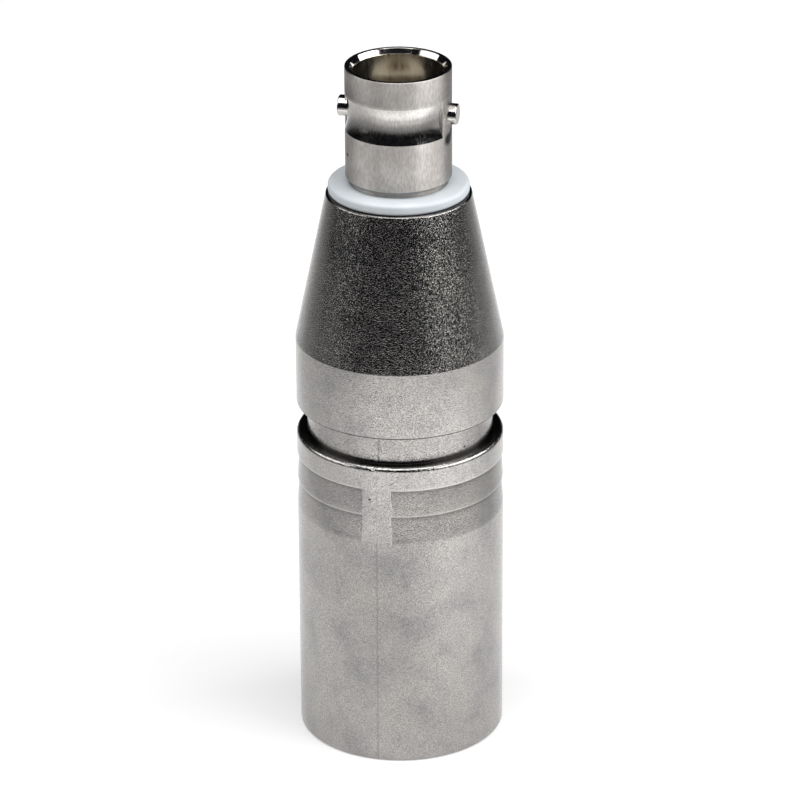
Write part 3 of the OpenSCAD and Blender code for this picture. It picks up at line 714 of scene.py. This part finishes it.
# %% Insulating washer
WASHER_R, BUSH_BORE_R, BUSH_R, WASHER_EDGE = 6.39, 4.05, 4.55, 0.35
Z_WASHER_TOP = Z_CONE_TOP + 1.0
Z_BUSH = Z_TOP_WALL + 0.3
washer_loop = rounded_loop([
    (WASHER_R, Z_CONE_TOP, WASHER_EDGE),
    (WASHER_R, Z_WASHER_TOP, WASHER_EDGE),
    (BUSH_BORE_R, Z_WASHER_TOP, SHARP),
    (BUSH_BORE_R, Z_BUSH, SHARP),
    (BUSH_R, Z_BUSH, SHARP),
    (BUSH_R, Z_CONE_TOP, SHARP),
], 8)
washer = grid_piece("white_washer", turned(clustered_angles(240), *washer_loop.T))
dress(washer, "insulating_washer", "white_nylon", white_nylon)

# %% [markdown]
# ## Socket body
#
# The barrel is turned in one setting: foot, barrel, bevelled mouth and mirror bore. A form tool
# then cuts a concave groove from beside one lug to short of the next, so that the plug's ramps
# can pass. The groove is part of a ring, so it can't be in the profile: its depth is the sagitta
# of the tool's radius, faded out where the tool lifted. A boolean cut would break the smooth
# shading along its edges.

# %% Socket profile
BNC_R, BNC_BORE_R, FOOT_R, SHANK_R, INSULATOR_HOLE_R = 4.8, 4.1, 4.5, 4.0, 2.37
BORE_DEPTH, FOOT_BEVEL, RIM_BEVEL_W, RIM_BEVEL_H = 8.4, 0.3, 0.3, 0.5
Z_SHANK = Z_TOP_WALL - 4.8
Z_BARREL = Z_WASHER_TOP + 0.67
Z_GROOVE = Z_BARREL + 4.4
Z_COLLAR = Z_GROOVE + 3.36
Z_RIM = Z_COLLAR + 2.57
BARREL = 5
barrel_z = np.concatenate([
    Z_GROOVE + np.array([-0.06, -0.02, 0.02]),
    np.linspace(Z_GROOVE + 0.06, Z_COLLAR - 0.06, 33),
    Z_COLLAR + np.array([-0.02, 0.02, 0.06, 0.4, 0.8, 1.2, 1.6, 2.0]),
])
bnc_loop = rounded_loop([
    (INSULATOR_HOLE_R, Z_SHANK, SHARP),
    (SHANK_R, Z_SHANK, 0.1),
    (SHANK_R, Z_WASHER_TOP, SHARP),
    (FOOT_R, Z_WASHER_TOP, SHARP),
    (FOOT_R, Z_BARREL - FOOT_BEVEL, SHARP),
    (BNC_R, Z_BARREL, 0.08),
    (BNC_R, Z_RIM, 0.1),
    (BNC_BORE_R + RIM_BEVEL_W, Z_RIM, 0.04),
    (BNC_BORE_R, Z_RIM - RIM_BEVEL_H, 0.08),
    (BNC_BORE_R, Z_RIM - BORE_DEPTH, 0.1),
    (INSULATOR_HOLE_R, Z_RIM - BORE_DEPTH, SHARP),
], 6, {BARREL: (barrel_z - Z_BARREL) / (Z_RIM - Z_BARREL)})
print("socket profile:", len(bnc_loop), "points, overall height", round(Z_RIM, 2), "mm")

# %% Groove and painted shade of the socket
GROOVE_DEPTH, GROOVE_SOFT = 0.25, 0.6
GROOVES = [(8.0, 158.4), (188.0, 338.4)]
Z_LUG = (Z_GROOVE + Z_COLLAR) / 2
groove_half = (Z_COLLAR - Z_GROOVE) / 2
TOOL_R = (groove_half ** 2 + GROOVE_DEPTH ** 2) / (2 * GROOVE_DEPTH)
bnc_angles = clustered_angles(360, *[(end, 0.6, 13) for pair in GROOVES for end in pair])
bnc_r, bnc_z = bnc_loop.T
degrees = np.degrees(bnc_angles)[:, None]
in_groove = sum(
    smooth_step(degrees, a, GROOVE_SOFT) - smooth_step(degrees, b, GROOVE_SOFT)
    for a, b in GROOVES)
off_middle = np.clip(bnc_z - Z_LUG, -groove_half, groove_half)
depth = np.sqrt(TOOL_R ** 2 - off_middle ** 2) - (TOOL_R - GROOVE_DEPTH)
cut = np.where(np.abs(bnc_r - BNC_R) < 0.01, depth, 0)

on_foot = (bnc_z < Z_BARREL - 0.05) & (bnc_z > Z_WASHER_TOP - 0.01)
on_collar = (bnc_z > Z_COLLAR) & (bnc_r > BNC_R - 0.05)
# Painted shade on the collar, deeper on the left side, fading upward from the groove
collar_side_shade = 0.18 + 0.2 * (1 - smooth_step(np.cos(bnc_angles)[:, None], 0.0, 0.6))
collar_grime = np.where(on_collar, collar_side_shade * bell(bnc_z - Z_COLLAR, 1.3), 0)
# Painted shade on the recessed foot under the barrel, and on the collar
bnc_body = grid_piece(
    "socket_body", turned(bnc_angles, bnc_r - cut * in_groove, bnc_z),
    grime=np.where(on_foot, 0.45, 0) + collar_grime)
dress(bnc_body, "bnc_body", "bright_nickel",
      satin_nickel, polished_nickel, bore_nickel, rim_nickel)

# %% [markdown]
# The socket has four finishes on one mesh. Separate pieces would show a gap, so each face takes
# the finish of the place where its middle lies.

# %% Finishes of the socket body
SATIN, POLISHED, BORED, BURNISHED = 0, 1, 2, 3
middles = np.empty(len(bnc_body.data.polygons) * 3)
bnc_body.data.polygons.foreach_get("center", middles)
face_x, face_y, face_z = middles.reshape(-1, 3).T / MM
face_r = np.hypot(face_x, face_y)
face_turn = np.degrees(np.arctan2(face_y, face_x)) % 360
grooved = (face_r > BNC_BORE_R + 0.2) & (face_z > Z_GROOVE) & (face_z < Z_COLLAR)
grooved &= sum((face_turn > a) & (face_turn < b) for a, b in GROOVES).astype(bool)
bored = (face_z > Z_RIM - 9) & (face_r < BNC_BORE_R + 0.05)
bevelled = (face_z > Z_RIM - 0.52) & (face_r > BNC_BORE_R + 0.02) & (face_r < BNC_R - 0.06)
face_finish = np.select([bored, bevelled, grooved], [BORED, BURNISHED, POLISHED], SATIN)
bnc_body.data.polygons.foreach_set("material_index", face_finish.astype(np.int32))
print("satin, polished, bored and burnished faces:", np.bincount(face_finish))

# %% [markdown]
# ## Bayonet lugs
#
# Two polished pins pressed through the wall. A cylinder with a bevel would be close, but each is
# a small turned piece about the X axis, with the edge of its tip broken, so it is made as one.

# %% Bayonet lugs
LUG_R, LUG_TIP, LUG_EDGE, LUG_ROOT = 0.96, 5.45, 0.12, 4.22
tip_arc = np.linspace(0, math.pi / 2, 7)
lug_out = np.concatenate([
    [LUG_ROOT, LUG_ROOT, LUG_ROOT, LUG_ROOT + GUARD, LUG_TIP - LUG_EDGE - GUARD],
    LUG_TIP - LUG_EDGE + LUG_EDGE * np.sin(tip_arc),
    [LUG_TIP, LUG_TIP],
])
lug_r = np.concatenate([
    [0.0, LUG_R - GUARD, LUG_R, LUG_R, LUG_R],
    LUG_R - LUG_EDGE + LUG_EDGE * np.cos(tip_arc),
    [LUG_R - LUG_EDGE - GUARD, 0.0],
])
lug_angles = clustered_angles(96)[:, None]
LUGS = (("lug_right", "bayonet_lug_right", 1), ("lug_left", "bayonet_lug_left", -1))
for lug_name, node_name, side in LUGS:
    points = np.stack(np.broadcast_arrays(
        side * lug_out, side * lug_r * np.cos(lug_angles),
        Z_LUG + lug_r * np.sin(lug_angles)), -1)
    lug = grid_piece(lug_name, points, poles=True)
    dress(lug, node_name, "bright_nickel", polished_nickel)

# %% [markdown]
# ## Lamps
#
# Nickel has little colour of its own, so its look is the room that it mirrors. The room is dark,
# with one broad lamp overhead and one at each side, the right one brighter. Walls that face the
# table are pale, slopes that face the room are dark, and the groove runs from one to the other.
# An image of a studio could light it too, but lamps with a size and a place are plain to change.

# %% Lamps and room
AZIMUTH, ELEVATION, ROLL = 13.4, 24.4, 0.32
DISTANCE, AIM_Z, LENS = 422.0, 32.5, 207.0
# Azimuth from the camera and elevation in degrees, distance and size in millimetres, brightness
LAMPS = {
    "overhead_lamp": (0, 76, 450, (500, 440), 3.0),
    "right_lamp": (75, 28.5, 480, (600, 230), 4.6),
    "left_lamp": (-85, 28, 480, (450, 220), 2.4),
}


def studio_place(azimuth, elevation, distance):
    """Point in metres at an angle from the camera's direction, positive to its right, at an
    elevation and a distance in millimetres from the middle of the adapter."""
    a, e = math.radians(AZIMUTH + azimuth), math.radians(elevation)
    out = Vector((math.sin(a) * math.cos(e), -math.cos(a) * math.cos(e), math.sin(e)))
    return (Vector((0, 0, AIM_Z)) + out * distance) * MM


def soft_lamp(name, azimuth, elevation, distance, size, brightness):
    """Rectangular lamp that faces the adapter. Its power is its brightness, where white is 1,
    times pi and its area."""
    data = bpy.data.lights.new(name, "AREA")
    data.shape, data.size, data.size_y = "RECTANGLE", size[0] * MM, size[1] * MM
    data.energy = brightness * math.pi * data.size * data.size_y
    lamp = bpy.data.objects.new(name, data)
    bpy.context.scene.collection.objects.link(lamp)
    lamp.location = studio_place(azimuth, elevation, distance)
    toward = Vector((0, 0, AIM_Z * MM)) - lamp.location
    lamp.rotation_euler = toward.to_track_quat("-Z", "Y").to_euler()
    print(name, round(data.energy, 2), "W")


for lamp_name, values in LAMPS.items():
    soft_lamp(lamp_name, *values)

world = bpy.data.worlds.new("dark_room")
bpy.context.scene.world = world
world.use_nodes = True
room = world.node_tree.nodes["Background"].inputs
room["Color"].default_value = linear("#16161a")
room["Strength"].default_value = 1.0

# %% [markdown]
# ## Table
#
# The adapter stands on a white sheet. A matte floor alone would be an even grey in the metal, so
# the sheet also glows, but only for the camera and for mirrors: Light Path tells those rays
# apart, and a strength of 1 is white. The real studio can't be seen, so where the sheet glows was
# found by trying, until each wall mirrored about the right tone. It is made of soft ovals and one
# card, in millimetres on the table. They lie still, so another view sees them from another side.

# %% Table top
TABLE_HALF = 1.5
table_corners = [(x * TABLE_HALF, y * TABLE_HALF, 0)
                 for x, y in ((-1, -1), (1, -1), (1, 1), (-1, 1))]
table_mesh = bpy.data.meshes.new("table")
table_mesh.from_pydata(table_corners, [], [(0, 1, 2, 3)])
table = bpy.data.objects.new("table", table_mesh)
bpy.context.scene.collection.objects.link(table)
table_white, tree = blank_material("white_table")
table_mesh.materials.append(table_white)
coord = add(tree, "ShaderNodeTexCoord").outputs["Object"]


def patch(azimuth, distance, half_size):
    """Sockets of a Mapping node for a patch of the table that lies square to the camera, with
    its middle at an azimuth and a distance: 1 is then its half size, in millimetres."""
    middle = studio_place(azimuth, 0, distance)
    return {
        "Vector": coord, "Location": (middle.x, middle.y, 0.0),
        "Rotation": (0.0, 0.0, math.radians(AZIMUTH)),
        "Scale": (half_size[0] * MM, half_size[1] * MM, 1.0),
    }


def soft_oval(azimuth, distance, half_size, *stops):
    """Colour of a soft oval on the table: a ramp over the distance from the patch's middle."""
    place = add(tree, "ShaderNodeMapping", patch(azimuth, distance, half_size),
                vector_type="TEXTURE").outputs[0]
    away = add(tree, "ShaderNodeVectorMath", {0: place}, operation="LENGTH").outputs["Value"]
    return add(tree, "ShaderNodeValToRGB", {"Fac": away}, stops=stops).outputs[0]


# The matte sheet's colour is a painted pool of light, pale round the adapter and dark further off
sheet = soft_oval(
    180, 80, (340, 600), (0.29, "#dadada"), (0.36, "#c0c0c0"), (0.45, "#a0a0a0"),
    (0.65, "#7c7c7c"), (0.9, "#303030"))
print("table", 2 * TABLE_HALF, "m wide")

# %% [markdown]
# Behind the adapter lies a white card with a soft edge, and a wide pale oval beyond it. The card
# is a box and not an oval: the larger of its two sideways distances gives straight sides.

# %% Card behind the adapter
card_place = add(tree, "ShaderNodeMapping", patch(180, 110, (74, 168)),
                 vector_type="TEXTURE").outputs[0]
card_sides = add(tree, "ShaderNodeVectorMath", {0: card_place}, operation="ABSOLUTE").outputs[0]
card_xy = add(tree, "ShaderNodeSeparateXYZ", {0: card_sides}).outputs
card_edge = add(tree, "ShaderNodeMath", {0: card_xy["X"], 1: card_xy["Y"]},
                operation="MAXIMUM").outputs[0]
card = add(tree, "ShaderNodeValToRGB", {"Fac": card_edge}, stops=[
    (0.7, "#a4a4a4"), (0.85, "#6c6c6c"), (1.0, "#000000")]).outputs[0]
beyond = soft_oval(180, 240, (150, 170), (0.0, "#747474"), (0.5, "#585858"), (1.0, "#000000"))
behind = add(tree, "ShaderNodeMix", {SHARE: 1.0, UNDER: card, OVER: beyond},
             **COLOURS, blend_type="ADD").outputs[MIXED]
print("card and oval behind the adapter:", behind.node.blend_type)

# %% [markdown]
# In front lies a ring of light round the adapter, kept to the front by a second oval. A small
# oval close by on the right, and a pool to each side, fill in what the lugs and edges mirror.

# %% Ovals round the adapter
ring = soft_oval(
    0, 0, (150, 150), (0.17, "#606060"), (0.3, "#747474"), (0.38, "#c0c0c0"), (0.47, "#f4f4f4"),
    (0.54, "#f0f0f0"), (0.6, "#d0d0d0"), (0.68, "#707070"), (0.84, "#b0b0b0"), (1.0, "#303030"))
front = soft_oval(
    20, 70, (165, 110), (0.35, "#ffffff"), (0.6, "#aaaaaa"), (0.85, "#707070"), (1.0, "#000000"))
near = soft_oval(
    65, 52, (48, 48), (0.0, "#c0c0c0"), (0.5, "#acacac"), (0.75, "#808080"), (1.0, "#000000"))
fan = add(tree, "ShaderNodeMix", {SHARE: 1.0, UNDER: ring, OVER: front},
          **COLOURS, blend_type="MULTIPLY").outputs[MIXED]
right_pool = soft_oval(95, 240, (120, 90), (0.2, "#888888"), (0.7, "#3c3c3c"), (1.0, "#000000"))
left_pool = soft_oval(-80, 340, (150, 120), (0.2, "#707070"), (0.7, "#3c3c3c"), (1.0, "#000000"))
for light_patch in (near, right_pool, left_pool):
    fan = add(tree, "ShaderNodeMix", {SHARE: 1.0, UNDER: fan, OVER: light_patch},
              **COLOURS, blend_type="ADD").outputs[MIXED]
print("table material so far:", len(tree.nodes), "nodes")

# %% [markdown]
# The lighter of the two fields is the glow. It is added to the matte sheet, which keeps the
# adapter's shadow.

# %% Glow of the table
glow = add(tree, "ShaderNodeMix", {SHARE: 1.0, UNDER: behind, OVER: fan},
           **COLOURS, blend_type="LIGHTEN").outputs[MIXED]
rays = add(tree, "ShaderNodeLightPath").outputs
seen = rays["Is Camera Ray"]
for kind in ("Is Glossy Ray", "Is Transmission Ray"):
    seen = add(tree, "ShaderNodeMath", {0: seen, 1: rays[kind]}, operation="ADD").outputs[0]
matte = add(tree, "ShaderNodeBsdfDiffuse", {"Color": sheet}).outputs[0]
light = add(tree, "ShaderNodeEmission", {"Color": glow, "Strength": seen}).outputs[0]
both = add(tree, "ShaderNodeAddShader", {0: matte, 1: light}).outputs[0]
add(tree, "ShaderNodeOutputMaterial", {"Surface": both})
print("table material:", len(tree.nodes), "nodes")

# %% [markdown]
# ## Camera
#
# A long lens from some way off keeps the adapter's sides nearly parallel, as in the photograph.
# The camera is aimed at the adapter's middle and turned a fraction of a degree about its axis.

# %% Camera
SENSOR_MM = 36.0
camera_data = bpy.data.cameras.new("camera")
camera_data.lens, camera_data.sensor_width = LENS, SENSOR_MM
camera_data.clip_start, camera_data.clip_end = 0.01, 10.0
camera = bpy.data.objects.new("camera", camera_data)
bpy.context.scene.collection.objects.link(camera)
camera.location = studio_place(0, ELEVATION, DISTANCE)
facing = (Vector((0, 0, AIM_Z * MM)) - camera.location).to_track_quat("-Z", "Y")
camera.rotation_mode = "QUATERNION"
camera.rotation_quaternion = facing @ Quaternion((0, 0, 1), math.radians(-ROLL))
bpy.context.scene.camera = camera
bpy.context.scene.view_settings.view_transform = "Standard"
print("camera at", [round(c, 4) for c in camera.location])
